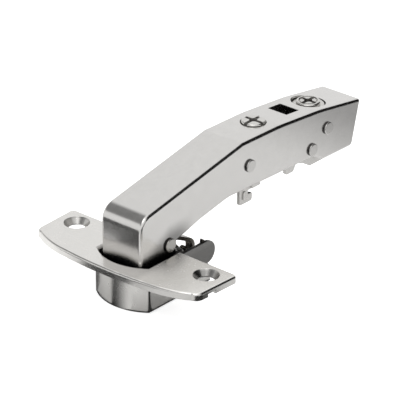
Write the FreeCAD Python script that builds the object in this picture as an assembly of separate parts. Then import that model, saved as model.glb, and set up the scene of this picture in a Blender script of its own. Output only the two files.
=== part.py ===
import FreeCAD, Part
import math
import os

V = FreeCAD.Vector
os.makedirs("parts", exist_ok=True)

# Row frame: origin on the cup's axis in the plane of the door's inner face,
# +X from the cup towards the arm's tail, +Z out of the door, Y along the flange.
# All lengths are millimetres. The hinge is drawn with the door shut.

# Sheet thicknesses and fits
CUP_SHEET = 1.0
ARM_SHEET = 1.4
LINK_SHEET = 1.2
RUN_FIT = 0.06
SLIP_GAP = 0.1
FREE_GAP = 0.3

# Flange: drawn from one sheet with the pot, its rim turned down to the door
FLANGE_TOP = 2.3
FLANGE_BRIM = 4.5
FLANGE_REAR = 0.5
FLANGE_MID_BACK = 1.0
FLANGE_MID_Y = 17.4
FLANGE_SHOULDER_BACK = 2.9
FLANGE_SHOULDER_Y = 26.2
FLANGE_NOSE_BACK = 4.8
FLANGE_NOSE_Y = 30.3
FLANGE_TIP_BACK = 7.4
FLANGE_TIP_Y = 32.6
FLANGE_END_Y = 33.25
FLANGE_END_R = 1.6
FLANGE_EDGE_R = 0.7
SCREW_X = -5.5
SCREW_Y = 26.0
SCREW_HOLE_R = 2.7
SINK_R = 4.05
SINK_DEPTH = 1.9
SINK_SHEET = 0.8
SINK_LAND = 0.25
NOTCH_X = -10.7
NOTCH_LENGTH = 3.2
NOTCH_HEIGHT = 1.0

# Pot: a 35 mm round with two flat sides, open towards the arm above its rear wall
POT_R = 17.5
NOSE_GAP = 1.2
POT_DEPTH = 12.8
POT_BOTTOM_R = 0.8
POT_CORNER_R = 1.0
POT_REAR_RISE = 0.4
MOUTH_R = 1.3
EAR_X = 12.3
EAR_RISE = 1.2
EAR_R = 3.7

# Linkage pivots, door shut
INNER_CUP_FORE = 1.8
INNER_CUP_RISE = 4.5
OUTER_CUP_FORE = 1.7
OUTER_CUP_RISE = 4.7
OUTER_ARM_X = -1.2
OUTER_ARM_Z = 4.3
INNER_ARM_X = 3.4
INNER_ARM_Z = -1.6
CUP_PIN_R = 1.25
ARM_PIN_R = 1.5
HEAD_R = 2.05
LINK_HEAD_R = 2.25
HEAD_PROUD = 0.8
HEAD_EDGE_R = 0.3
OPEN_PIVOT_GAP = 1.08

# Links
HUMP_FORE = 0.75
HUMP_RISE = 2.2
HUMP_R = 2.8
FORK_GAP = 0.6
FORK_ROOT_X = 4.2
INNER_LINK_HALF = 2.8

# Bracket that carries the cup pins
BRACKET_GAP = 0.1744
BRACKET_SHEET = 1.0
BRACKET_WEB = 0.7
BRACKET_LENGTH = 16.0

# Closing springs
CLOSER_WIRE_R = 0.42
CLOSER_COIL_R = 2.1
CLOSER_GAP = 0.8
CLOSER_PITCH = 0.95
CLOSER_TURNS = 1.5
CLOSER_LEG = 6.4

# Arm: side outline of the pressed channel
ARM_HALF = 7.9
ARM_EDGE_R = 1.0
ARM_FRONT = -14.1
ARM_CROWN_AHEAD = 40.9
ARM_CROWN_Z = 25.7
ARM_TAIL_BEHIND = 16.8
ARM_TAIL_Z = 20.6
NOSE_BOTTOM = -1.9

# Adjusting gear and clip
OVERLAY_AHEAD = 26.7
OVERLAY_HEAD_R = 3.75
OVERLAY_HOLE_R = 4.15
OVERLAY_PROUD = 0.8
OVERLAY_NECK = 0.5
OVERLAY_COLLAR_R = 5.0
OVERLAY_COLLAR_HEIGHT = 1.0
OVERLAY_SHANK_R = 2.4
NUT_HEIGHT = 2.8
DEPTH_X = 73.3
DEPTH_HEAD_R = 3.85
DEPTH_DISC_R = 5.1
DEPTH_DISC_DEEP = 0.9
DEPTH_DISC_HEIGHT = 0.9
DEPTH_HOLE_R = 5.6
DEPTH_PROUD = 0.4
DEPTH_COLLAR_R = 3.0
DEPTH_SHANK_R = 1.6
DEPTH_CAM_R = 2.6
DEPTH_CAM_OFF = 0.9
WINDOW_AHEAD = 11.7
WINDOW_LENGTH = 6.0
WINDOW_WIDTH = 7.5
WINDOW_OFF = 0.4
GUIDE_PIN_AHEAD = 37.6
GUIDE_PIN_Z = 17.1
SLIDE_PIN_AHEAD = 7.5
SLIDE_PIN_Z = 11.6
TILT_PIN_Z = 16.4
CHANNEL_GAP = 0.4
CARRIER_SHEET = 1.0
CARRIER_TOP = 21.2
CARRIER_SEAT = 20.0
SWING_GAP = 0.6
NEST_GAP = 0.2
CLIP_SHEET = 1.0
CLIP_WEB_TOP = 14.5
CROSS_ARM = 0.6
CROSS_CORE = 1.25
CROSS_DEPTH = 1.3

# Latch
LATCH_PIN_BEHIND = 5.3
LATCH_PIN_Z = 9.6
LATCH_PIN_R = 1.1
LATCH_SHEET = 1.4
LATCH_PAD_TOP = 10.5
LATCH_SPRING_BEHIND = 8.9
LATCH_WIRE_R = 0.3
LATCH_COIL_R = 1.4
LATCH_TURNS = 4.0

# What follows from the sizes above: pieces inside the arm take their width from it, the pot
# is as wide as the arm's rivet heads need, the cup pins stand on the bracket, and the whole
# adjusting gear is placed along X from the depth screw
FLANGE_FRONT = -POT_R - FLANGE_BRIM
FLANGE_MID_X = FLANGE_FRONT + FLANGE_MID_BACK
FLANGE_SHOULDER_X = FLANGE_FRONT + FLANGE_SHOULDER_BACK
FLANGE_NOSE_X = FLANGE_FRONT + FLANGE_NOSE_BACK
FLANGE_TIP_X = FLANGE_FRONT + FLANGE_TIP_BACK
POT_FLAT = ARM_HALF + HEAD_PROUD + NOSE_GAP + CUP_SHEET
BRACKET_HALF = POT_FLAT - CUP_SHEET - SLIP_GAP
BRACKET_REAR = math.sqrt((POT_R - CUP_SHEET) ** 2 - BRACKET_HALF ** 2) - BRACKET_GAP
INNER_CUP_X = BRACKET_REAR - INNER_CUP_FORE
INNER_CUP_Z = INNER_CUP_RISE - POT_DEPTH
OUTER_CUP_X = INNER_CUP_X - OUTER_CUP_FORE
OUTER_CUP_Z = INNER_CUP_Z + OUTER_CUP_RISE
POT_REAR_TOP = INNER_CUP_Z + POT_REAR_RISE
EAR_Z = OUTER_CUP_Z + EAR_RISE
HUMP_X = OUTER_CUP_X - HUMP_FORE
HUMP_Z = OUTER_CUP_Z + HUMP_RISE
CARRIER_HALF = ARM_HALF - ARM_SHEET - CHANNEL_GAP
OUTER_LINK_HALF = ARM_HALF - ARM_SHEET - CHANNEL_GAP
FORK_GAP_HALF = INNER_LINK_HALF + FORK_GAP
CLOSER_START_Y = OUTER_LINK_HALF + CLOSER_GAP
CLIP_HALF = CARRIER_HALF - CARRIER_SHEET - NEST_GAP
LATCH_HALF = CLIP_HALF - CLIP_SHEET - FREE_GAP
ARM_CROWN_X = DEPTH_X - ARM_CROWN_AHEAD
ARM_TAIL_X = DEPTH_X + ARM_TAIL_BEHIND
OVERLAY_X = DEPTH_X - OVERLAY_AHEAD
WINDOW_X = DEPTH_X - WINDOW_AHEAD
GUIDE_PIN_X = DEPTH_X - GUIDE_PIN_AHEAD
SLIDE_PIN_X = DEPTH_X - SLIDE_PIN_AHEAD
TILT_PIN_X = DEPTH_X
LATCH_PIN_X = DEPTH_X + LATCH_PIN_BEHIND
LATCH_SPRING_X = DEPTH_X + LATCH_SPRING_BEHIND


def save(name, shape):
    """Write one solid piece under its own name."""
    shape = shape.removeSplitter()
    if not shape.isValid():
        raise ValueError(name + " is not a valid shape")
    shape.exportStep("parts/" + name + ".step")


def box(x0, x1, y0, y1, z0, z1):
    return Part.makeBox(x1 - x0, y1 - y0, z1 - z0, V(x0, y0, z0))


def rod_y(x, z, r, y0, y1):
    return Part.makeCylinder(r, y1 - y0, V(x, y0, z), V(0, 1, 0))


def rod_z(x, y, r, z0, z1):
    return Part.makeCylinder(r, z1 - z0, V(x, y, z0), V(0, 0, 1))


def both_sides(shape):
    """The shape and its mirror image across the hinge's middle plane."""
    return shape.fuse(shape.mirror(V(0, 0, 0), V(0, 1, 0)))


def rounded(points):
    """Closed edge list through corners (a, b, radius), each corner rounded."""
    n = len(points)
    starts, ends, mids = [], [], []
    for i in range(n):
        a, b, c = points[i - 1], points[i], points[(i + 1) % n]
        p, q, s = V(a[0], a[1], 0), V(b[0], b[1], 0), V(c[0], c[1], 0)
        u, w = (p - q).normalize(), (s - q).normalize()
        half = u.getAngle(w) / 2
        r = b[2]
        if r <= 0 or abs(half - math.pi / 2) < 1e-4:
            starts.append(q)
            ends.append(q)
            mids.append(None)
            continue
        reach = r / math.tan(half)
        middle = (u + w).normalize()
        centre = q + middle * (r / math.sin(half))
        starts.append(q + u * reach)
        ends.append(q + w * reach)
        mids.append(centre - middle * r)
    return starts, mids, ends


def wire_xz(points, y):
    starts, mids, ends = rounded(points)

    def at(p):
        return V(p.x, y, p.y)

    return corner_wire(starts, mids, ends, at)


def wire_xy(points, z):
    starts, mids, ends = rounded(points)

    def at(p):
        return V(p.x, p.y, z)

    return corner_wire(starts, mids, ends, at)


def corner_wire(starts, mids, ends, at):
    edges = []
    n = len(starts)
    for i in range(n):
        if mids[i] is not None:
            edges.append(Part.Arc(at(starts[i]), at(mids[i]), at(ends[i])).toShape())
        tail, head = at(ends[i]), at(starts[(i + 1) % n])
        if tail.distanceToPoint(head) > 1e-5:
            edges.append(Part.makeLine(tail, head))
    return Part.Wire(edges)


def slab_xz(points, y0, y1):
    """A plate cut to an outline in the side view."""
    return Part.Face(wire_xz(points, y0)).extrude(V(0, y1 - y0, 0))


def slab_xy(points, z0, z1):
    """A plate cut to an outline in the plan view."""
    return Part.Face(wire_xy(points, z0)).extrude(V(0, 0, z1 - z0))


def geared(points):
    """Outline corners counted along X from the depth screw, set into the row frame."""
    return [(DEPTH_X + x, z, r) for x, z, r in points]


def inset(points, gap):
    """The same outline a sheet thickness further in (points run clockwise)."""
    out = []
    n = len(points)
    for i in range(n):
        a, b, c = points[i - 1], points[i], points[(i + 1) % n]
        d1 = V(b[0] - a[0], b[1] - a[1], 0).normalize()
        d2 = V(c[0] - b[0], c[1] - b[1], 0).normalize()
        n1, n2 = V(d1.y, -d1.x, 0), V(d2.y, -d2.x, 0)
        k = n1 + n2
        scale = gap / (1 + n1.dot(n2))
        turn = d1.x * d2.y - d1.y * d2.x
        r = b[2] - gap if turn < 0 else b[2] + gap
        out.append((b[0] + k.x * scale, b[1] + k.y * scale, max(r, 0) if b[2] > 0 else 0))
    return out


def rolled_strap(circles, first, last, half, y_mid=0.0):
    """A strap rolled clockwise round each circle (x, z, radius) in turn, as wide as 2*half.

    The middle line starts on the first circle at the angle `first` and stops on the
    last one at the angle `last`; tangent lines join the circles."""
    edges = []
    arrive = math.radians(first)
    for i, (x, z, r) in enumerate(circles):
        if i + 1 < len(circles):
            nx, nz, nr = circles[i + 1]
            run = math.hypot(nx - x, nz - z)
            leave = math.atan2(nz - z, nx - x) + math.acos((r - nr) / run)
        else:
            leave = math.radians(last)
        sweep = (arrive - leave) % (2 * math.pi)
        p = [V(x + r * math.cos(arrive - sweep * k), y_mid, z + r * math.sin(arrive - sweep * k))
             for k in (0, 0.5, 1)]
        edges.append(Part.Arc(p[0], p[1], p[2]).toShape())
        if i + 1 < len(circles):
            q = V(nx + nr * math.cos(leave), y_mid, nz + nr * math.sin(leave))
            edges.append(Part.makeLine(p[2], q))
            arrive = leave
    path = Part.Wire(edges)
    x, z, r = circles[0]
    t = LINK_SHEET / 2
    a = math.radians(first)
    out, side = V(math.cos(a), 0, math.sin(a)), V(0, 1, 0)
    foot = V(x, y_mid, z) + out * r
    corners = [foot - out * t - side * half, foot + out * t - side * half,
               foot + out * t + side * half, foot - out * t + side * half]
    section = Part.makePolygon(corners + [corners[0]])
    return path.makePipeShell([section], True, True)


def spring(x, z, coil_r, wire_r, y0, pitch, turns, leg, leg_angle):
    """A torsion coil round a pin along Y with a straight leg at each end."""
    helix = Part.makeHelix(pitch, pitch * turns, coil_r)
    helix.rotate(V(0, 0, 0), V(1, 0, 0), -90)
    helix.rotate(V(0, 0, 0), V(0, 1, 0), leg_angle)
    helix.translate(V(x, y0, z))
    edge = helix.Edges[0]
    ends = []
    for par, sign in ((edge.FirstParameter, -1), (edge.LastParameter, 1)):
        ends.append((edge.valueAt(par), edge.tangentAt(par) * sign))
    first, last = ends
    along = first[1]
    circle = Part.Wire(Part.makeCircle(wire_r, first[0], along))
    coil = Part.Wire(helix.Edges).makePipeShell([circle], True, True)
    legs = [Part.makeCylinder(wire_r, length, p, d)
            for (p, d), length in zip(ends, leg)]
    return coil.fuse(legs)


def headed_pin(x, z, r, half, head_r=HEAD_R, proud=HEAD_PROUD):
    """A riveted pin across the arm with a low round head outside each side wall."""
    pin = rod_y(x, z, r, -half, half)
    head = rod_y(x, z, head_r, half, half + proud)
    rim = [e for e in head.Edges if abs(e.CenterOfMass.y - half - proud) < 1e-6
           and isinstance(e.Curve, Part.Circle)]
    head = head.makeFillet(HEAD_EDGE_R, rim)
    return pin.fuse(both_sides(head))


def cross_recess(x, z_top, reach):
    """Cutter for a cross recess in a screw head, its wide middle turned between the arms."""
    bars = []
    for turn, long, wide in ((0, reach, CROSS_ARM), (90, reach, CROSS_ARM), (45, CROSS_CORE, CROSS_CORE)):
        bar = box(-long, long, -wide, wide, 0, CROSS_DEPTH + 1)
        bar.rotate(V(0, 0, 0), V(0, 0, 1), turn)
        bar.translate(V(x, 0, z_top - CROSS_DEPTH))
        bars.append(bar)
    return bars[0].fuse(bars[1:])


def cup():
    """Flange and pot drawn from one sheet."""
    def outline(z, grow):
        f, g = FLANGE_FRONT - grow, grow
        pts = [V(FLANGE_MID_X - g, -FLANGE_MID_Y, z), V(f, 0, z),
               V(FLANGE_MID_X - g, FLANGE_MID_Y, z)]
        front = Part.Arc(pts[0], pts[1], pts[2]).toShape()
        left, right = [], []
        for s, bag in ((-1, left), (1, right)):
            a = V(FLANGE_MID_X - g, s * FLANGE_MID_Y, z)
            b = V(FLANGE_SHOULDER_X - g, s * (FLANGE_SHOULDER_Y + g * 0.3), z)
            c = V(FLANGE_NOSE_X - g * 0.9, s * (FLANGE_NOSE_Y + g * 0.5), z)
            d = V(FLANGE_TIP_X, s * (FLANGE_TIP_Y + g), z)
            m = V((c.x + d.x) / 2 - 0.42, (c.y + d.y) / 2 + s * 0.42, z)
            r = FLANGE_END_R
            e = V(FLANGE_REAR + g - r, s * (FLANGE_END_Y + g - 0.05), z)
            h = V(FLANGE_REAR + g, s * (FLANGE_END_Y + g - r - 0.05), z)
            k = V(FLANGE_REAR + g - r * 0.293, s * (FLANGE_END_Y + g - r * 0.293 - 0.05), z)
            bag += [Part.Arc(a, b, c).toShape(), Part.Arc(c, m, d).toShape(),
                    Part.makeLine(d, e), Part.Arc(e, k, h).toShape()]
            bag.append(h)
        rear = Part.makeLine(left[-1], right[-1])
        return Part.Wire(Part.__sortEdges__([front] + left[:-1] + right[:-1] + [rear]))

    plate = Part.Face(outline(0, 0)).extrude(V(0, 0, FLANGE_TOP))
    top_edges = [e for e in plate.Edges
                 if abs(e.BoundBox.ZMin - FLANGE_TOP) < 1e-6 and abs(e.BoundBox.ZMax - FLANGE_TOP) < 1e-6]
    plate = plate.makeFillet(FLANGE_EDGE_R, top_edges)
    hollow = Part.Face(outline(0, -CUP_SHEET)).extrude(V(0, 0, FLANGE_TOP - CUP_SHEET))
    plate = plate.cut(hollow)

    def drum(r, flat, z0, z1, corner):
        solid = rod_z(0, 0, r, z0, z1).common(box(-r, r, -flat, flat, z0, z1))
        upright = [e for e in solid.Edges if e.BoundBox.ZLength > z1 - z0 - 0.01 and e.CenterOfMass.x < 0
                   and abs(abs(e.CenterOfMass.y) - flat) < 0.01]
        return solid.makeFillet(corner, upright)

    pot = drum(POT_R, POT_FLAT, -POT_DEPTH, FLANGE_TOP - 0.3, POT_CORNER_R)
    base_edges = [e for e in pot.Edges if abs(e.BoundBox.ZMax + POT_DEPTH) < 1e-6]
    pot = pot.makeFillet(POT_BOTTOM_R, base_edges)
    body = plate.fuse(pot)
    ear_top = EAR_Z + EAR_R
    wall = box(0, EAR_X, POT_FLAT - CUP_SHEET, POT_FLAT, EAR_Z - EAR_R, ear_top)
    wall = wall.fuse(rod_y(EAR_X, EAR_Z, EAR_R, POT_FLAT - CUP_SHEET, POT_FLAT))
    rear_clear = box(FLANGE_REAR, POT_R + 1, -POT_FLAT - 1, POT_FLAT + 1, ear_top, ear_top + POT_DEPTH)
    rear_open = box(EAR_X - EAR_R, POT_R + 1, -POT_FLAT - 1, POT_FLAT + 1, POT_REAR_TOP, ear_top)
    body = body.cut(rear_clear).cut(rear_open).fuse(both_sides(wall))
    inner_r, inner_flat = POT_R - CUP_SHEET, POT_FLAT - CUP_SHEET
    bore = drum(inner_r, inner_flat, CUP_SHEET - POT_DEPTH, FLANGE_TOP + 1, POT_CORNER_R - 0.4)
    bore = bore.fuse(box(0, POT_R + 1, -inner_flat, inner_flat, POT_REAR_TOP, FLANGE_TOP + 1))
    body = body.cut(bore)

    # rolled-over mouth of the pot: a bell shape turned round the front, another along the flats
    def bell(reach, at):
        low, k = FLANGE_TOP - MOUTH_R, MOUTH_R * (1 - math.sqrt(0.5))
        bend = Part.Arc(at(reach, low), at(reach + k, FLANGE_TOP - k), at(reach + MOUTH_R, FLANGE_TOP))
        arc = bend.toShape()
        ring = [at(reach + MOUTH_R, FLANGE_TOP), at(reach + MOUTH_R, FLANGE_TOP + 1), at(0, FLANGE_TOP + 1),
                at(0, low), at(reach, low)]
        return Part.Face(Part.Wire([arc] + [Part.makeLine(p, q) for p, q in zip(ring, ring[1:])]))

    turned = bell(inner_r, lambda a, z: V(a, 0, z)).revolve(V(0, 0, 0), V(0, 0, 1), 360)
    flat_bell = bell(inner_flat, lambda a, z: V(FLANGE_FRONT, a, z))
    ribbon = both_sides(flat_bell.extrude(V(FLANGE_REAR - FLANGE_FRONT, 0, 0)))
    body = body.cut(turned.common(ribbon))

    for s in (-1, 1):
        y = s * SCREW_Y
        depth = SINK_DEPTH
        dimple = Part.makeCone(SCREW_HOLE_R + SINK_SHEET, SINK_R + SINK_SHEET, depth,
                               V(SCREW_X, y, FLANGE_TOP - depth - SINK_LAND))
        sink = Part.makeCone(SCREW_HOLE_R, SINK_R, depth, V(SCREW_X, y, FLANGE_TOP - depth))
        lip = rod_z(SCREW_X, y, SINK_R, FLANGE_TOP, FLANGE_TOP + 1)
        hole = rod_z(SCREW_X, y, SCREW_HOLE_R, -1, FLANGE_TOP)
        body = body.fuse(dimple).cut(sink.fuse([hole, lip]))
        body = body.cut(box(NOTCH_X - NOTCH_LENGTH / 2, NOTCH_X + NOTCH_LENGTH / 2,
                            min(s * 31.5, s * 36), max(s * 31.5, s * 36), -0.1, NOTCH_HEIGHT))
    return body


def flange_plate():
    """Flat stiffener pressed up into the hollow of the flange."""
    z0, z1 = 0.2, FLANGE_TOP - CUP_SHEET
    edge = CUP_SHEET + SLIP_GAP
    pts = [(FLANGE_FRONT + edge + 0.6, 12.0, 20), (FLANGE_SHOULDER_X + edge, 25.4, 8),
           (FLANGE_TIP_X + 0.6, FLANGE_TIP_Y - edge - 0.4, 2),
           (FLANGE_REAR - edge, FLANGE_END_Y - edge - 0.3, 0.8),
           (FLANGE_REAR - edge, -FLANGE_END_Y + edge + 0.3, 0.8),
           (FLANGE_TIP_X + 0.6, -FLANGE_TIP_Y + edge + 0.4, 2), (FLANGE_SHOULDER_X + edge, -25.4, 8),
           (FLANGE_FRONT + edge + 0.6, -12.0, 20)]
    plate = slab_xy(pts, z0, z1)
    plate = plate.cut(rod_z(0, 0, POT_R + SLIP_GAP, z0 - 1, z1 + 1).fuse(
        box(0, 10, -POT_R - SLIP_GAP, POT_R + SLIP_GAP, z0 - 1, z1 + 1)))
    for s in (-1, 1):
        plate = plate.cut(rod_z(SCREW_X, s * SCREW_Y, SINK_R + SINK_SHEET + FREE_GAP, z0 - 1, z1 + 1))
    return plate


def pivot_bracket():
    """U-shaped pressing on the cup's floor whose cheeks carry the cup pins."""
    floor = CUP_SHEET - POT_DEPTH
    around = [(-5.2, -2.9, 1.5), (-3.0, 1.8, 1.5), (-0.2, 4.0, 0.6), (1.8, 4.1, 0.3), (1.9, 5.6, 0.3),
              (2.4, 5.3, 0.3), (3.8, 3.9, 0.8), (4.9, 2.8, 1.5), (4.9, -1.0, 1.2)]
    cheek = [(OUTER_CUP_X - 6.4, floor, 0)] + [(OUTER_CUP_X + x, OUTER_CUP_Z + z, r) for x, z, r in around]
    cheek += [(BRACKET_REAR, OUTER_CUP_Z - 2.6, 0.4), (BRACKET_REAR, floor, 0)]
    cheeks = both_sides(slab_xz(cheek, BRACKET_HALF - BRACKET_SHEET, BRACKET_HALF))
    front = BRACKET_REAR - BRACKET_LENGTH
    web = box(front, BRACKET_REAR, -BRACKET_HALF, BRACKET_HALF, floor, floor + BRACKET_WEB)
    body = cheeks.fuse(web)
    relief = rod_z(front, 0, 4.5, floor - 1, floor + 3)
    body = body.cut(relief)
    for x, z in ((OUTER_CUP_X, OUTER_CUP_Z), (INNER_CUP_X, INNER_CUP_Z)):
        body = body.cut(rod_y(x, z, CUP_PIN_R, -BRACKET_HALF - 1, BRACKET_HALF + 1))
    return body


def outer_link():
    """Forked link: a wide rolled eye on the arm, two rolled eyes on the cup's stub pins."""
    eye_arm = ARM_PIN_R + RUN_FIT + LINK_SHEET / 2
    eye_cup = CUP_PIN_R + RUN_FIT + LINK_SHEET / 2
    strap = rolled_strap([(OUTER_ARM_X, OUTER_ARM_Z, eye_arm), (HUMP_X, HUMP_Z, HUMP_R),
                          (OUTER_CUP_X, OUTER_CUP_Z, eye_cup)], 348, 96, OUTER_LINK_HALF)
    slot = box(FORK_ROOT_X, 20, -FORK_GAP_HALF, FORK_GAP_HALF, -12, 12)
    return strap.cut(slot)


def inner_link():
    """Middle link: close eye on the cup's long pin, roomy eye on the arm's lower pin."""
    eye_arm = ARM_PIN_R + OPEN_PIVOT_GAP + LINK_SHEET / 2
    eye_cup = CUP_PIN_R + RUN_FIT + LINK_SHEET / 2
    lean = math.degrees(math.atan2(INNER_CUP_Z - INNER_ARM_Z, INNER_CUP_X - INNER_ARM_X))
    return rolled_strap([(INNER_ARM_X, INNER_ARM_Z, eye_arm), (INNER_CUP_X, INNER_CUP_Z, eye_cup)],
                        lean + 30.3014, lean + 162.3014, INNER_LINK_HALF)


def arm_outline():
    """Side view of the arm, clockwise from the foot of its front web."""
    foot, belly = 13.0, DEPTH_X - 25.3
    return [(ARM_FRONT, NOSE_BOTTOM, 3.0),
            (ARM_FRONT, 16.75, 5.0),
            (ARM_CROWN_X, ARM_CROWN_Z, 3.5),
            (DEPTH_X - 23.3, 25.4, 70),
            (DEPTH_X - 3.3, 23.7, 70),
            (ARM_TAIL_X, ARM_TAIL_Z, 0.6),
            (ARM_TAIL_X - 3.9, 5.6, 1.6),
            (DEPTH_X - 2.1, 5.9, 1.0),
            (DEPTH_X - 6.7, 8.6, 1.0),
            (belly, 9.05, 20),
            (foot + (belly - foot) * 13 / 35, 9.7, 14),
            (foot, 7.3, 20),
            (4.6, 5.0, 1.5),
            (1.9, 4.2, 1.0),
            (1.9, 1.3, 1.4),
            (5.8, 0.6, 1.9),
            (5.8, -4.0, 2.2),
            (0.6, -4.0, 2.2),
            (-4.4, NOSE_BOTTOM, 3.0)]


def hinge_arm():
    """Cranked channel pressed from one sheet, its nose curled in at the bottom."""
    outline = arm_outline()
    solid = slab_xz(outline, -ARM_HALF, ARM_HALF)
    edges = []
    for e in solid.Edges:
        b = e.BoundBox
        on_side = abs(abs(b.YMin) - ARM_HALF) < 1e-6 and abs(b.YMax - b.YMin) < 1e-6
        m = e.CenterOfMass
        upper = m.z > 15 or m.x < ARM_FRONT + 3.2
        if on_side and upper and m.x < ARM_TAIL_X - 0.5:
            edges.append(e)
    solid = solid.makeFillet(ARM_EDGE_R, edges)
    inner_half = ARM_HALF - ARM_SHEET
    cavity = slab_xz(inset(outline, ARM_SHEET), -inner_half, inner_half)
    open_foot = slab_xz([(-4.6, -6.0, 0), (-4.6, 6.0, 0), (8.0, 12.0, 0)] + geared(
        [(-43.3, 14.0, 0), (26.7, 14.0, 0), (26.7, -6.0, 0)]), -inner_half, inner_half)
    open_tail = slab_xz(geared([(10.7, 4.0, 0), (13.2, 17.8, 0), (26.7, 17.8, 0), (26.7, 4.0, 0)]),
                        -inner_half, inner_half)
    body = solid.cut(cavity.fuse([open_foot, open_tail]))
    for x, z, r in ((OUTER_ARM_X, OUTER_ARM_Z, ARM_PIN_R), (INNER_ARM_X, INNER_ARM_Z, ARM_PIN_R),
                    (GUIDE_PIN_X, GUIDE_PIN_Z, ARM_PIN_R), (SLIDE_PIN_X, SLIDE_PIN_Z, ARM_PIN_R),
                    (TILT_PIN_X, TILT_PIN_Z, ARM_PIN_R)):
        body = body.cut(rod_y(x, z, r, -ARM_HALF - 1, ARM_HALF + 1))
    body = body.cut(rod_z(OVERLAY_X, 0, OVERLAY_HOLE_R, 20, 30))
    body = body.cut(rod_z(DEPTH_X, 0, DEPTH_HOLE_R, 18, 30))
    w = WINDOW_WIDTH / 2
    half = WINDOW_LENGTH / 2
    body = body.cut(box(WINDOW_X - half, WINDOW_X + half, WINDOW_OFF - w, WINDOW_OFF + w, 20, 30))
    return body


def roof_z(x):
    """Height of the arm's top face at x, along its side outline."""
    roof = arm_outline()[1:6]
    for (x0, z0, _), (x1, z1, _) in zip(roof, roof[1:]):
        if x <= x1:
            return z0 + (z1 - z0) * (x - x0) / (x1 - x0)


def overlay_screw():
    """Side adjusting screw: cross-recessed head in the arm's front hole, threaded foot."""
    top = roof_z(OVERLAY_X) + OVERLAY_PROUD
    collar_top = roof_z(OVERLAY_X + OVERLAY_COLLAR_R) - ARM_SHEET - SLIP_GAP
    collar_foot = collar_top - OVERLAY_COLLAR_HEIGHT
    foot = CARRIER_TOP - CARRIER_SHEET - NUT_HEIGHT - 1.2
    head = rod_z(OVERLAY_X, 0, OVERLAY_HEAD_R, collar_top + OVERLAY_NECK, top)
    rim = [e for e in head.Edges if abs(e.BoundBox.ZMin - top) < 1e-6]
    head = head.makeFillet(0.5, rim)
    collar = rod_z(OVERLAY_X, 0, OVERLAY_COLLAR_R, collar_foot, collar_top)
    neck = rod_z(OVERLAY_X, 0, OVERLAY_HEAD_R - 0.4, collar_top, collar_top + OVERLAY_NECK)
    shank = rod_z(OVERLAY_X, 0, OVERLAY_SHANK_R, foot, collar_foot)
    body = head.fuse([collar, neck, shank])
    return body.cut(cross_recess(OVERLAY_X, top, OVERLAY_HEAD_R + 0.5))


def depth_cam():
    """Depth adjusting screw: ringed head in the rear hole, eccentric in the clip's slot."""
    top = roof_z(DEPTH_X) + DEPTH_PROUD
    seat = CARRIER_SEAT + RUN_FIT
    disc_top = roof_z(DEPTH_X) - DEPTH_DISC_DEEP
    disc_foot = disc_top - DEPTH_DISC_HEIGHT
    disc = rod_z(DEPTH_X, 0, DEPTH_DISC_R, disc_foot, disc_top)
    head = rod_z(DEPTH_X, 0, DEPTH_HEAD_R, disc_top, top)
    rim = [e for e in head.Edges if abs(e.BoundBox.ZMin - top) < 1e-6]
    head = head.makeFillet(0.4, rim)
    groove = rod_z(DEPTH_X, 0, DEPTH_HEAD_R - 0.8, top - 0.5, top + 1).cut(
        rod_z(DEPTH_X, 0, DEPTH_HEAD_R - 1.3, top - 1, top + 1))
    collar = rod_z(DEPTH_X, 0, DEPTH_COLLAR_R, seat, disc_foot)
    shank = rod_z(DEPTH_X, 0, DEPTH_SHANK_R, CLIP_WEB_TOP + FREE_GAP, seat)
    cam = rod_z(DEPTH_X, DEPTH_CAM_OFF, DEPTH_CAM_R, CLIP_WEB_TOP - CLIP_SHEET - SLIP_GAP,
                CLIP_WEB_TOP + FREE_GAP)
    body = head.cut(groove).fuse([disc, collar, shank, cam])
    return body.cut(cross_recess(DEPTH_X, top, DEPTH_HEAD_R - 0.7))


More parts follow.
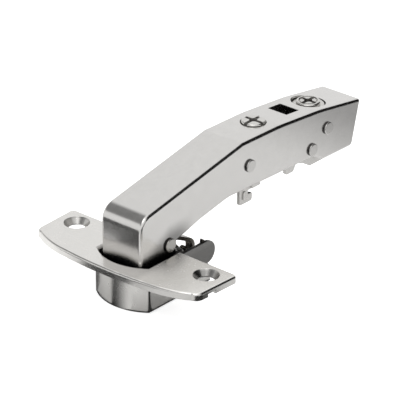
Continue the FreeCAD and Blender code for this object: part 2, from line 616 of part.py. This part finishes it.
def carrier():
    """Inner channel that tilts in the arm; side walls hang down to the mounting plate."""
    top, seat, sheet = CARRIER_TOP, CARRIER_SEAT, CARRIER_SHEET
    side = [(-39.5, 10.0, 1), (-39.5, top, 0.8), (-17.3, top, 6), (-8.3, seat, 6), (6.2, seat, 1),
            (6.2, 5.0, 1), (-6.3, 5.0, 0.4), (-9.9, 7.2, 0.4), (-13.1, 8.2, 0.8),
            (-14.4, 6.0, 0.8), (-18.2, 6.0, 0.8),
            (-18.2, 8.4, 0.3), (-30.4, 8.4, 0.3), (-30.4, 7.5, 0.3), (-34.3, 7.5, 0.3), (-34.7, 10.0, 0.3)]
    solid = slab_xz(geared(side), -CARRIER_HALF, CARRIER_HALF)
    inner = CARRIER_HALF - sheet
    under = [(-43.3, 0, 0), (-43.3, top - sheet, 0), (-17.3, top - sheet, 6), (-8.3, seat - sheet, 6),
             (11.7, seat - sheet, 0), (11.7, 0, 0)]
    hollow = slab_xz(geared(under), -inner, inner)
    body = solid.cut(hollow)
    body = body.cut(rod_y(TILT_PIN_X, TILT_PIN_Z, ARM_PIN_R + RUN_FIT, -10, 10))
    body = body.cut(rod_y(SLIDE_PIN_X, SLIDE_PIN_Z, ARM_PIN_R + SWING_GAP, -10, 10))
    r, rise = ARM_PIN_R + FREE_GAP, 2 * SWING_GAP
    slot = box(GUIDE_PIN_X - r, GUIDE_PIN_X + r, -10, 10, GUIDE_PIN_Z - rise, GUIDE_PIN_Z + rise)
    slot = slot.fuse([rod_y(GUIDE_PIN_X, GUIDE_PIN_Z + s * rise, r, -10, 10) for s in (-1, 1)])
    body = body.cut(slot)
    body = body.cut(rod_z(OVERLAY_X, 0, OVERLAY_SHANK_R + FREE_GAP + SLIP_GAP, top - 2, top + 1))
    w, reach = WINDOW_WIDTH / 2 + SWING_GAP, WINDOW_LENGTH / 2 + SWING_GAP
    y0, y1 = WINDOW_OFF - w, WINDOW_OFF + w
    body = body.cut(box(WINDOW_X - reach, WINDOW_X + reach, y0, y1, seat - 2, top + 1))
    body = body.cut(rod_z(DEPTH_X, 0, DEPTH_SHANK_R + RUN_FIT, seat - 2, seat + 1))
    return body


def overlay_nut():
    """Threaded saddle lying under the carrier's web for the side adjusting screw."""
    web = CARRIER_TOP - CARRIER_SHEET
    half = CARRIER_HALF - CARRIER_SHEET - SLIP_GAP
    nut = box(OVERLAY_X - 4.2, OVERLAY_X + 4.2, -half, half, web - NUT_HEIGHT, web)
    edges = [e for e in nut.Edges if e.BoundBox.ZLength > NUT_HEIGHT - 0.1]
    nut = nut.makeFillet(1.2, edges)
    return nut.cut(rod_z(OVERLAY_X, 0, OVERLAY_SHANK_R + FREE_GAP + SLIP_GAP, web - NUT_HEIGHT - 1, web + 1))


def clip_channel():
    """Sliding channel with the front hooks that grip the mounting plate."""
    top = CLIP_WEB_TOP
    rear = LATCH_SPRING_BEHIND + LATCH_COIL_R + LATCH_WIRE_R + 0.4
    side = [(-39.5, 9.0, 0), (-39.5, top, 0.8), (rear, top, 0.8), (rear, 12.0, 0.8),
            (8.7, 8.2, 0.8), (-13.3, 8.2, 0.8), (-14.8, 9.4, 0.8), (-31.3, 9.4, 0.8),
            (-32.9, 6.8, 0.3), (-34.9, 6.8, 0.3), (-34.9, 5.4, 0.3), (-32.9, 5.4, 0.4),
            (-32.9, 2.8, 0.9), (-38.9, 2.8, 0.6), (-38.9, 9.0, 0.3)]
    solid = slab_xz(geared(side), -CLIP_HALF, CLIP_HALF)
    inner = CLIP_HALF - CLIP_SHEET
    under = [(-43.3, 0, 0), (-43.3, top - CLIP_SHEET, 0), (16.7, top - CLIP_SHEET, 0), (16.7, 0, 0)]
    hollow = slab_xz(geared(under), -inner, inner)
    body = solid.cut(hollow)
    for s in (-1, 1):
        rib = slab_xz(geared([(-37.4, 4.0, 0.6), (-37.4, 7.0, 0.6), (-36.0, 7.0, 0.6), (-36.0, 4.0, 0.6)]),
                      min(s * CLIP_HALF, s * (CLIP_HALF + 0.35)), max(s * CLIP_HALF, s * (CLIP_HALF + 0.35)))
        body = body.fuse(rib)
    travel, rise = DEPTH_CAM_OFF + SWING_GAP, ARM_PIN_R + SWING_GAP
    slot = box(SLIDE_PIN_X - travel, SLIDE_PIN_X + travel, -10, 10, SLIDE_PIN_Z - rise, SLIDE_PIN_Z + rise)
    slot = slot.fuse([rod_y(SLIDE_PIN_X + s * travel, SLIDE_PIN_Z, rise, -10, 10) for s in (-1, 1)])
    body = body.cut(slot)
    r, w = DEPTH_CAM_R + SLIP_GAP, DEPTH_CAM_R + DEPTH_CAM_OFF + FREE_GAP
    body = body.cut(box(DEPTH_X - r, DEPTH_X + r, -w, w, top - CLIP_SHEET - 1, top + 1))
    body = body.cut(rod_y(LATCH_PIN_X, LATCH_PIN_Z, LATCH_PIN_R, -10, 10))
    return body


def latch_lever():
    """Sprung release lever between the clip channel's cheeks, finger pad at the tail."""
    pad = LATCH_PAD_TOP
    side = [(1.3, 6.6, 0.5), (1.3, 11.6, 0.6), (5.3, 12.0, 1.0), (6.9, pad, 0.6), (14.3, pad, 0.6),
            (13.9, 8.8, 0.6), (7.1, 7.4, 1.5), (3.5, 7.0, 0.4)]
    solid = slab_xz(geared(side), -LATCH_HALF, LATCH_HALF)
    gap = LATCH_HALF - LATCH_SHEET
    hollow = box(LATCH_PIN_X - 2.2, LATCH_PIN_X + 1.3, -gap, gap, 5, 14)
    body = solid.cut(hollow)
    body = body.cut(rod_y(LATCH_PIN_X, LATCH_PIN_Z, LATCH_PIN_R + RUN_FIT, -10, 10))
    return body


def latch_spring():
    """Small compression coil between the lever's pad and the clip channel's web."""
    bottom, top = LATCH_PAD_TOP, CLIP_WEB_TOP - CLIP_SHEET
    height = top - bottom - 2 * LATCH_WIRE_R - 0.02
    helix = Part.makeHelix(height / LATCH_TURNS, height, LATCH_COIL_R)
    helix.translate(V(LATCH_SPRING_X, 0, bottom + LATCH_WIRE_R + 0.01))
    edge = helix.Edges[0]
    p = edge.valueAt(edge.FirstParameter)
    ring = Part.Wire(Part.makeCircle(LATCH_WIRE_R, p, edge.tangentAt(edge.FirstParameter)))
    return Part.Wire(helix.Edges).makePipeShell([ring], True, True)


save("cup", cup())
save("flange_plate", flange_plate())
save("pivot_bracket", pivot_bracket())
save("outer_cup_pin_left", rod_y(OUTER_CUP_X, OUTER_CUP_Z, CUP_PIN_R, FORK_GAP_HALF, BRACKET_HALF))
save("outer_cup_pin_right", rod_y(OUTER_CUP_X, OUTER_CUP_Z, CUP_PIN_R, -BRACKET_HALF, -FORK_GAP_HALF))
save("inner_cup_pin", rod_y(INNER_CUP_X, INNER_CUP_Z, CUP_PIN_R, -BRACKET_HALF, BRACKET_HALF))
save("outer_link", outer_link())
save("inner_link", inner_link())

left_spring = spring(OUTER_CUP_X, OUTER_CUP_Z, CLOSER_COIL_R, CLOSER_WIRE_R, CLOSER_START_Y,
                     CLOSER_PITCH, CLOSER_TURNS, (CLOSER_LEG, 1.2), 180)
save("closing_spring_left", left_spring)
save("closing_spring_right", left_spring.mirror(V(0, 0, 0), V(0, 1, 0)))

save("hinge_arm", hinge_arm())
save("outer_arm_pin", headed_pin(OUTER_ARM_X, OUTER_ARM_Z, ARM_PIN_R, ARM_HALF, LINK_HEAD_R))
save("inner_arm_pin", headed_pin(INNER_ARM_X, INNER_ARM_Z, ARM_PIN_R, ARM_HALF))
save("guide_rivet", headed_pin(GUIDE_PIN_X, GUIDE_PIN_Z, ARM_PIN_R, ARM_HALF))
save("slide_rivet", headed_pin(SLIDE_PIN_X, SLIDE_PIN_Z, ARM_PIN_R, ARM_HALF))
tilt = headed_pin(TILT_PIN_X, TILT_PIN_Z, ARM_PIN_R, ARM_HALF)
stub_end = CARRIER_HALF - CARRIER_SHEET
middle = (TILT_PIN_X - 5, TILT_PIN_X + 5, TILT_PIN_Z - 5, TILT_PIN_Z + 5)
save("tilt_rivet_left", tilt.cut(box(*middle[:2], -20, stub_end, *middle[2:])))
save("tilt_rivet_right", tilt.cut(box(*middle[:2], -stub_end, 20, *middle[2:])))
save("overlay_screw", overlay_screw())
save("overlay_nut", overlay_nut())
save("carrier", carrier())
save("depth_cam", depth_cam())
save("clip_channel", clip_channel())
save("latch_lever", latch_lever())
save("latch_pin", rod_y(LATCH_PIN_X, LATCH_PIN_Z, LATCH_PIN_R, -CLIP_HALF, CLIP_HALF))
save("latch_spring", latch_spring())
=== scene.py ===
import math

import bpy
import numpy as np
from mathutils import Matrix, Vector


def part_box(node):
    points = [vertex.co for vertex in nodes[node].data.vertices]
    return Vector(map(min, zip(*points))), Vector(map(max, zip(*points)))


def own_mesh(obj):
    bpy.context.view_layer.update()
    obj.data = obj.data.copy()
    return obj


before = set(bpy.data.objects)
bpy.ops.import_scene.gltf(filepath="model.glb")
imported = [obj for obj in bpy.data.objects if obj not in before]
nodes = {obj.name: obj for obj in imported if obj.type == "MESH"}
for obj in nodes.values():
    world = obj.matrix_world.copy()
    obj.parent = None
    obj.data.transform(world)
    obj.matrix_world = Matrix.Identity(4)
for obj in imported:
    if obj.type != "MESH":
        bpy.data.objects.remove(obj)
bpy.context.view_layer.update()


# The cup: flange and pot are drawn together from one blank of 1 mm steel strip, trimmed,
# then nickel plated in a tumbling barrel, which leaves a satin, slightly clouded skin.

class Wire:
    """A shader value. Each operator adds the Math node that it stands for."""

    def __init__(self, tree, socket):
        self.tree, self.socket = tree, socket

    def math(self, operation, *values):
        """One Math node on these values."""
        return make(self.tree, "ShaderNodeMath", {"operation": operation}, dict(enumerate(values)))

    def __add__(self, other):
        return self.math("ADD", self, other)

    def __radd__(self, other):
        return self.math("ADD", other, self)

    def __sub__(self, other):
        return self.math("SUBTRACT", self, other)

    def __rsub__(self, other):
        return self.math("SUBTRACT", other, self)

    def __mul__(self, other):
        return self.math("MULTIPLY", self, other)

    def __rmul__(self, other):
        return self.math("MULTIPLY", other, self)

    def root(self):
        return self.math("SQRT", self)

    def size(self):
        """The value without its sign."""
        return self.math("ABSOLUTE", self)

    def between(self, low, high):
        """0 below low, 1 above high, and a smooth step from one to the other."""
        return make(self.tree, "ShaderNodeMapRange", {"interpolation_type": "SMOOTHSTEP"},
                    {"Value": self, "From Min": low, "From Max": high})


def make(tree, kind, settings, sockets, out=0):
    """Add one node: its settings first, then the values or wires of its sockets."""
    node = tree.nodes.new(kind)
    for name, value in settings.items():
        setattr(node, name, value)
    for name, value in sockets.items():
        if isinstance(value, Wire):
            tree.links.new(value.socket, node.inputs[name])
        else:
            node.inputs[name].default_value = value
    return Wire(tree, node.outputs[out]) if len(node.outputs) else None


def blank(name):
    """A new material with an empty node tree."""
    material = bpy.data.materials.new(name)
    material.use_nodes = True
    material.node_tree.nodes.clear()
    return material, material.node_tree


def place_in_mm(tree):
    """The place on the piece: its Object coordinates, taken from metres to mm."""
    place = make(tree, "ShaderNodeTexCoord", {}, {}, out="Object")
    return make(tree, "ShaderNodeMapping", {}, {"Vector": place, "Scale": (1000.0, 1000.0, 1000.0)})


def split(vector):
    """The x, y and z of a vector, each as a value of its own."""
    return [make(vector.tree, "ShaderNodeSeparateXYZ", {}, {0: vector}, out=axis) for axis in "XYZ"]


def plated(name, tone, rough, cloud=0.06, grain=0.05, draw=(1.0, 1.0, 1.0), painted_light=None):
    """Plated steel. Colour = tone x (1 + cloud x slow noise + grain x fine noise), lighter where the surface
    turns at an edge, partly from wear and partly as a painted highlight; roughness and a shallow bump follow
    the same two noises.
    draw stretches the fine noise along the way the sheet or wire was drawn. painted_light is given the x, y,
    z of a point in mm and returns how much is left of the tone there: below 1 it is painted shade, above 1
    painted light."""
    material, tree = blank(name)
    in_mm = place_in_mm(tree)
    drawn = make(tree, "ShaderNodeMapping", {}, {"Vector": in_mm, "Scale": draw})
    slow = make(tree, "ShaderNodeTexNoise", {},
                {"Vector": in_mm, "Scale": 0.32, "Detail": 3.0, "Roughness": 0.55})
    fine = make(tree, "ShaderNodeTexNoise", {},
                {"Vector": drawn, "Scale": 1.4, "Detail": 2.0, "Roughness": 0.6})
    shade = 1.0 + (slow - 0.5) * (2 * cloud) + (fine - 0.5) * (2 * grain)
    # Painted shade and painted light, where a piece has them.
    if painted_light:
        shade = shade * painted_light(*split(in_mm))
    # Edges: partly wear, partly a painted highlight, mixed towards a lighter tone.
    edge_radius, edge_wear_and_highlight, edge_lift = 0.00022, 0.12, 1.22
    soft = make(tree, "ShaderNodeBevel", {"samples": 4}, {"Radius": edge_radius})
    normal = make(tree, "ShaderNodeNewGeometry", {}, {}, out="Normal")
    along = make(tree, "ShaderNodeVectorMath", {"operation": "DOT_PRODUCT"},
                 {0: soft, 1: normal}, out="Value")
    edge = (1.0 - along).between(0.02, 0.25) * (0.6 + slow * 0.8)
    body = make(tree, "ShaderNodeVectorMath", {"operation": "SCALE"}, {0: tone, "Scale": shade})
    bright = tuple(min(1.0, part * edge_lift) for part in tone) + (1.0,)
    colour = make(tree, "ShaderNodeMix", {"data_type": "RGBA"},
                  {0: edge * edge_wear_and_highlight, 6: body, 7: bright}, out=2)
    gloss = rough + (slow - 0.5) * 0.10 + (fine - 0.5) * 0.08 - edge * 0.06
    height = fine * 0.7 + slow * 0.3
    bump = make(tree, "ShaderNodeBump", {},
                {"Strength": 0.05, "Distance": 0.00002, "Height": height, "Normal": soft})
    skin = make(tree, "ShaderNodeBsdfPrincipled", {},
                {"Base Color": colour, "Metallic": 1.0, "Roughness": gloss, "Normal": bump})
    make(tree, "ShaderNodeOutputMaterial", {}, {"Surface": skin})
    return material


def dress(material, *names):
    """Give these CAD nodes the material, in place of the plain one they come with."""
    for name in names:
        slots = nodes[name].data.materials
        if not slots:
            slots.append(material)
        for number in range(len(slots)):
            slots[number] = material


# Painted shade inside the pot and in the countersinks, painted light on the flange.
def cup_painted_light(x, y, z):
    """Painted light and shade on the cup. What is left of the tone is a product of four parts, each 1
    outside its place. Inside the pot, which is near its axis and between its flat sides, painted shade
    leaves 0.1 below the mouth. On the ears, the rear and upper part of the pot's sides, it is a quarter, and
    in the two countersinks painted shade leaves 0.6. The flange is painted paler than the pot, most of all
    the top of its near half, a painted reflection of the arm's side; its rim is painted paler at the far end
    and darker at the near one."""
    wall_radius, wall_side, wall_blur, mouth, mouth_blur = 17.1, 10.5, 0.2, 1.6, 2.4
    across = y.size()
    from_axis = (x * x + y * y).root()
    inside = (wall_radius - from_axis).between(0.0, wall_blur) * (wall_side - across).between(0.0, wall_blur)
    deep = (mouth - z).between(0.0, mouth_blur)
    ear = x.between(0.6, 1.6) * z.between(-8.5, -6.5)
    sink_x, sink_y, sink_square = -5.5, 26.0, 17.2
    off_square = (x - sink_x) * (x - sink_x) + (across - sink_y) * (across - sink_y)
    sink = (sink_square - off_square).between(0.0, 1.6)
    flange = z.between(-1.0, 0.0)
    top = z.between(1.7, 2.2)
    near = (-11.0 - y).between(0.0, 3.0)
    far = y.between(8.0, 22.0)
    pale = 1.0 + flange * (0.14 + top * near * 0.2 + (1.0 - top) * (far * 0.25 - near * 0.22))
    return (1.0 - inside * deep * 0.9) * (1.0 - ear * 0.76) * (1.0 - sink * 0.4) * pale


dress(plated("cup_nickel", (0.62, 0.61, 0.59), 0.25, cloud=0.05, grain=0.03, painted_light=cup_painted_light), "cup")


# Stiffener and pivot bracket: two plain pressings that lie in the flange's hollow and on the pot's floor.
# They are plated like the cup, with a tone painted far darker than the cup's: painted shade for the hollow
# and the pot they lie in.
dress(plated("inner_pressing_nickel_painted_shade", (0.16, 0.15, 0.135), 0.36, cloud=0.08),
      "flange_plate", "pivot_bracket")


# Cup pins: bright drawn steel wire, cut to length and pressed into the bracket's cheeks.
# The drawing leaves fine rings round each pin.
dress(plated("drawn_pin_steel", (0.55, 0.54, 0.53), 0.22, grain=0.07, draw=(1.0, 6.0, 1.0)),
      "outer_cup_pin_left", "outer_cup_pin_right", "inner_cup_pin")


# Links: straps of 1.2 mm steel with their ends rolled into eyes round the pins, then plated. They work down
# in the cup, so their tone is painted darker than the arm's, a painted shade; they are smoother than the
# pressings round them, because the rolls have burnished it.
dress(plated("rolled_link_nickel_painted_shade", (0.22, 0.205, 0.185), 0.24, cloud=0.10, draw=(1.0, 0.25, 1.0)),
      "outer_link", "inner_link")


# Closing springs: round spring wire wound on the outer cup pins. The wire is oiled, not plated,
# so it stays darker than the pins that it turns on, and cloudier.
dress(plated("spring_wire", (0.30, 0.29, 0.28), 0.30, cloud=0.1, draw=(0.4, 2.0, 2.0)),
      "closing_spring_left", "closing_spring_right")


# Arm: a cranked channel of 1.4 mm steel, blanked, bent up at both sides, its nose curled in,
# and nickel plated. The flat faces are satin with a fine mottle from the tumbling.
# Painted shade on the arm's lower front, towards the cup.
def arm_painted_shade(x, y, z):
    """Painted shade: 1 nearly all over. On the front part it falls towards 0.4 below a line that rises to
    the tail, from 5.5 mm at the nose to at most 12 mm, and that fades out behind the links."""
    nose_x, nose_line, rise, top_line = -14.0, 5.5, 0.5, 12.0
    line = nose_line + (x - nose_x) * rise
    limit = line.math("MINIMUM", line, top_line)
    return 1.0 - (limit - z).between(0.0, 6.0) * (1.0 - x.between(2.0, 11.0)) * 0.6


dress(plated("arm_nickel", (0.635, 0.625, 0.61), 0.19, cloud=0.06, grain=0.04, painted_light=arm_painted_shade), "hinge_arm")


# Pins and rivets of the arm: turned steel with a low round head, pushed through both walls, headed over and
# plated. The heads' faces keep faint turning marks, and their flanks and shanks carry painted shade.
def head_painted_shade(x, y, z):
    """Painted shade: 1 on the heads' faces, 8.7 mm off the middle plane, down to 0.1 on their flanks and
    shanks.
    """
    return y.size().between(8.2, 8.65) * 0.9 + 0.1


dress(plated("rivet_nickel", (0.56, 0.55, 0.535), 0.24, grain=0.06, painted_light=head_painted_shade),
      "guide_rivet", "slide_rivet", "tilt_rivet_left", "tilt_rivet_right")
# The link pins' tone is painted darker than the rivets', a painted shade for their place low at the cup.
dress(plated("link_pin_nickel_painted_shade", (0.40, 0.39, 0.37), 0.24, grain=0.06, painted_light=head_painted_shade),
      "outer_arm_pin", "inner_arm_pin")


# Side adjustment: the cross-recessed screw in the arm's front hole and its saddle nut under the carrier's
# web, both cold headed from steel and plated. The screw's recess is painted darker, a painted shade.
def recess_painted_shade(axis_x, reach, low, high, left):
    """Painted shade for a screw that stands upright at axis_x: 1 on its head, and within reach of its axis
    down to left, as the height falls from high to low."""
    def painted_light(x, y, z):
        inside = (reach * reach - (x - axis_x) * (x - axis_x) - y * y).between(0.0, 1.0)
        return 1.0 - inside * (high - z).between(0.0, high - low) * (1.0 - left)
    return painted_light


front_recess = recess_painted_shade(axis_x=46.6, reach=3.2, low=25.2, high=26.2, left=0.5)
dress(plated("screw_nickel", (0.62, 0.61, 0.59), 0.22, painted_light=front_recess), "overlay_screw")
# The nut's tone is painted far darker than the screw's, a painted shade under the carrier's web.
dress(plated("nut_nickel_painted_shade", (0.20, 0.19, 0.17), 0.34), "overlay_nut")


# Carrier: the inner channel, pressed from 1 mm steel and plated, that hangs in the arm on the two tilt
# rivets. Only its lower edges show below the arm, and what lies up inside it is painted dark, a painted
# shade.
def inner_painted_shade(fade, left):
    """Painted shade: 1 at the lower edges, and over fade mm down to left at 12.5 mm above the door and
    higher.
    """
    roof_line = 12.5
    return lambda x, y, z: (roof_line - z).between(0.0, fade) * (1.0 - left) + left


dress(plated("carrier_nickel", (0.58, 0.57, 0.55), 0.28, painted_light=inner_painted_shade(fade=4.0, left=0.08)), "carrier")


# Depth adjustment: a turned and plated steel screw with a ring round its head and an eccentric
# below, seated on the carrier in the arm's rear hole.
# Painted shade in its recess, as on the front screw.
rear_recess = recess_painted_shade(axis_x=73.3, reach=3.0, low=22.5, high=23.3, left=0.4)
dress(plated("depth_screw_nickel", (0.60, 0.59, 0.57), 0.22, painted_light=rear_recess), "depth_cam")


# Clip channel: pressed from 1 mm steel and plated like the carrier. It slides in the carrier and
# grips the mounting plate with its front hooks.
# Painted shade up inside it, as on the carrier.
dress(plated("clip_nickel", (0.58, 0.57, 0.55), 0.28, painted_light=inner_painted_shade(fade=2.0, left=0.06)), "clip_channel")


# Latch: the release lever, pressed from 1.4 mm steel, on its pin between the clip channel's
# cheeks, and the small coil of spring wire that holds it down and gives way as it is pressed.
dress(plated("latch_nickel", (0.56, 0.55, 0.53), 0.28), "latch_lever", "latch_pin")
dress(plated("latch_wire", (0.30, 0.29, 0.28), 0.30, draw=(2.0, 2.0, 0.4)), "latch_spring")
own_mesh(nodes["latch_spring"])


# Floor: a wide sheet of matt white paper, just under the pot. The eye sees it white, but for
# the hinge's shadow.
floor_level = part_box("cup")[0].z - 0.00002
floor_reach = 6.0
floor_colour = (0.90, 0.90, 0.90, 1.0)
floor_lift = 0.62


def block(x0, x1, y0, y1):
    """Corners of a rectangle along the axes."""
    return [(x0, y0), (x1, y0), (x1, y1), (x0, y1)]


def sheet(name, corners, material):
    """One flat face through the given corners, counter-clockwise seen from its front."""
    mesh = bpy.data.meshes.new(name)
    mesh.from_pydata(corners, [], [tuple(range(len(corners)))])
    made = bpy.data.objects.new(name, mesh)
    bpy.context.scene.collection.objects.link(made)
    made.data.materials.append(material)
    return made


def glow(tree, strength):
    """White light of this strength."""
    return make(tree, "ShaderNodeEmission", {}, {"Color": (1.0, 1.0, 1.0, 1.0), "Strength": strength})


floor_paint, floor_tree = blank("floor_paint")
seen = make(floor_tree, "ShaderNodeLightPath", {}, {}, out="Is Camera Ray")
matt = make(floor_tree, "ShaderNodeBsdfDiffuse", {}, {"Color": floor_colour})
lifted = make(floor_tree, "ShaderNodeAddShader", {}, {0: matt, 1: glow(floor_tree, floor_lift)})
to_eye = make(floor_tree, "ShaderNodeMixShader", {}, {0: seen, 1: matt, 2: lifted})
make(floor_tree, "ShaderNodeOutputMaterial", {}, {"Surface": to_eye})
floor_square = block(-floor_reach, floor_reach, -floor_reach, floor_reach)
sheet("floor", [(x, y, floor_level) for x, y in floor_square], floor_paint)


# Cards: pieces of grey and black paper laid on the floor, as a photographer lays them. They
# show only mirrored in the metal, and neither the eye nor the light on the floor meets them.
card_level = floor_level + 0.0001
black = 0.03


def card(name, corners, shade):
    """A flat card through corners (x, y in mm). shade is its brightness: one number, or a
    function of a point's x and y in mm."""
    paint, tree = blank(name + "_paint")
    if callable(shade):
        shade = shade(*split(place_in_mm(tree))[:2])
    make(tree, "ShaderNodeOutputMaterial", {}, {"Surface": glow(tree, shade)})
    made = sheet(name, [(x / 1000, y / 1000, card_level) for x, y in corners], paint)
    made.visible_camera = made.visible_diffuse = made.visible_shadow = False


def wedge(tip, sides, near, far):
    """Corners between two azimuths in degrees and two distances in mm from tip (x, y in mm)."""
    ends = [(sides[0], near), (sides[1], near), (sides[1], far), (sides[0], far)]
    return [(tip[0] + math.cos(math.radians(a)) * d, tip[1] + math.sin(math.radians(a)) * d)
            for a, d in ends]


# The pot's round front mirrors a fan from this point: a band that is black at its left and
# fades out to the right, and beyond it a grey strip for the pot's left border.
pot_tip = (-10.9, -6.0)


def pot_shade(x, y):
    """Black at azimuth 135 degrees from the tip, nearly white at 179."""
    azimuth = y.math("ARCTAN2", y - pot_tip[1], x - pot_tip[0])
    return azimuth.between(math.radians(135.0), math.radians(179.0)) * 0.9 + black


card("pot_card", wedge(pot_tip, (133.0, 179.5), near=7.2, far=34.0), pot_shade)
card("pot_side_card", wedge(pot_tip, (78.0, 101.0), near=10.0, far=38.0), 0.12)

# The upright corners of pot, flange and arm mirror the first of these as a thin dark line, and
# the arm's upper edges mirror the far end of the floor.
card("corner_card", wedge((-13.0, -8.0), (232.0, 296.0), near=3.0, far=3000.0), black)
card("horizon_card", block(-60.0, 3000.0, -3000.0, -85.0),
     lambda x, y: (y + 100.0).between(-30.0, 15.0) * 0.8 + black)

# The arm's front web and the flange's rim mirror the floor in front of them, and the arm's side
# mirrors, towards its tail, a card that gets darker to the right.
card("web_card", [(-240.0, -80.0), (-44.0, 4.0), (-44.0, 54.0), (-240.0, 270.0)], 0.11)
card("rim_card", block(-44.0, -33.0, 3.0, 28.0), black)
card("tail_card", block(85.0, 400.0, -84.0, -15.0), lambda x, y: 0.95 - x.between(90.0, 142.0) * 0.5)

# A little wider than the pot, this black card is a painted contact shadow, mirrored in the rounding of the
# pot's bottom edge.
pot_reach, pot_side = 18.6, 12.0
turn = np.linspace(0.0, 2 * np.pi, 64, endpoint=False)
outline_x = pot_reach * np.cos(turn)
outline_y = np.clip(pot_reach * np.sin(turn), -pot_side, pot_side)
card("contact_shadow_card", np.column_stack((outline_x, outline_y)).tolist(), black)


# Studio: a white tent all round, as the world. Metal sees two dark gaps in it, a strip at the
# left and a round one low at the right, which draw the dark lines along the arm's bends.
world = bpy.data.worlds.new("tent")
bpy.context.scene.world = world
world.use_nodes = True
tent_tree = world.node_tree
tent_tree.nodes.clear()
ray = make(tent_tree, "ShaderNodeTexCoord", {}, {}, out="Generated")
glossy = make(tent_tree, "ShaderNodeLightPath", {}, {}, out="Is Glossy Ray")
depth = make(tent_tree, "ShaderNodeLightPath", {}, {}, out="Ray Depth")


def part_along(direction):
    """How far the ray goes in a direction: the dot product of both."""
    return make(tent_tree, "ShaderNodeVectorMath", {"operation": "DOT_PRODUCT"},
                {0: ray, 1: direction}, out="Value")


def gap(azimuth, height, half_angle, soft):
    """1 inside a round gap in the tent, fading to 0 over soft degrees at its rim.
    The middle lies at azimuth from +X and at height above the floor, all in degrees."""
    a, e = math.radians(azimuth), math.radians(height)
    towards = part_along((math.cos(a) * math.cos(e), math.sin(a) * math.cos(e), math.sin(e)))
    return towards.between(math.cos(math.radians(half_angle + soft)), math.cos(math.radians(half_angle)))


def strip(azimuth, half_width, low, high, soft):
    """1 inside a strip of the tent between two heights, up to half_width either side of azimuth
    at the floor and less higher up, fading to 0 over 2 x soft at its borders, all in degrees."""
    a = math.radians(azimuth)
    side = part_along((math.cos(a), math.sin(a), 0.0))
    rise = split(ray)[2]
    above = rise.between(math.sin(math.radians(low - soft)), math.sin(math.radians(low + soft)))
    over = rise.between(math.sin(math.radians(high - soft)), math.sin(math.radians(high + soft)))
    return above * (1.0 - over) * side.between(
        math.cos(math.radians(half_width + soft)), math.cos(math.radians(half_width - soft)))


# Ray Depth is 2 on the first mirroring. Metal that shows in other metal sees the tent whole.
first_mirror = depth.math("LESS_THAN", depth, 2.5)
left_strip = strip(azimuth=129.0, half_width=73.0, low=29.0, high=62.0, soft=5.0)
right_gap = gap(azimuth=-37.0, height=25.0, half_angle=37.0, soft=5.0)
gaps = left_strip * 0.75 + right_gap
tent = 1.0 - glossy * first_mirror * gaps
white = make(tent_tree, "ShaderNodeBackground", {}, {"Color": (1.0, 1.0, 1.0, 1.0), "Strength": tent})
make(tent_tree, "ShaderNodeOutputWorld", {}, {"Surface": white})


# Key light: one square softbox, high in front of the hinge and a little left of the camera. It
# lifts the faces that look up and throws the soft shadow on the floor.
key_place, key_aim = Vector((-0.35, -0.15, 0.75)), Vector((0.03, 0.0, 0.0))
key_light = bpy.data.lights.new("key_softbox", "AREA")
key_light.shape, key_light.size, key_light.energy = "SQUARE", 0.5, 1.2
key = bpy.data.objects.new("key_softbox", key_light)
bpy.context.scene.collection.objects.link(key)
key.location = key_place
key.rotation_euler = (key_aim - key_place).to_track_quat("-Z", "Y").to_euler()


# Camera: a long lens, placed where the flange's holes, the arm's corners and the pot's rim fall
# on their places in the picture. It looks along -back, and the origin lies across and upward,
# in metres, from the middle of its view.
focal_px, picture_px, sensor_mm = 3046.77, 400, 36.0
distance, across, upward = 0.91524, -0.014197, -0.014589
azimuth, elevation, roll = (math.radians(x) for x in (-48.938, 26.544, -0.110))
back = Vector((math.sin(azimuth) * math.cos(elevation), -math.cos(azimuth) * math.cos(elevation),
               math.sin(elevation)))
level_right = (-back).cross(Vector((0, 0, 1))).normalized()
level_up = level_right.cross(-back)
right = level_right * math.cos(roll) + level_up * math.sin(roll)
up = level_up * math.cos(roll) - level_right * math.sin(roll)
eye = -across * right - upward * up + distance * back
camera = bpy.data.objects.new("camera", bpy.data.cameras.new("camera"))
bpy.context.scene.collection.objects.link(camera)
camera.data.sensor_width = sensor_mm
camera.data.lens = focal_px / picture_px * sensor_mm
camera.data.clip_start, camera.data.clip_end = 0.05, 20.0
camera.matrix_world = Matrix((
    (right.x, up.x, back.x, eye.x),
    (right.y, up.y, back.y, eye.y),
    (right.z, up.z, back.z, eye.z),
    (0, 0, 0, 1)))
bpy.context.scene.camera = camera
bpy.context.scene.view_settings.view_transform = "Standard"
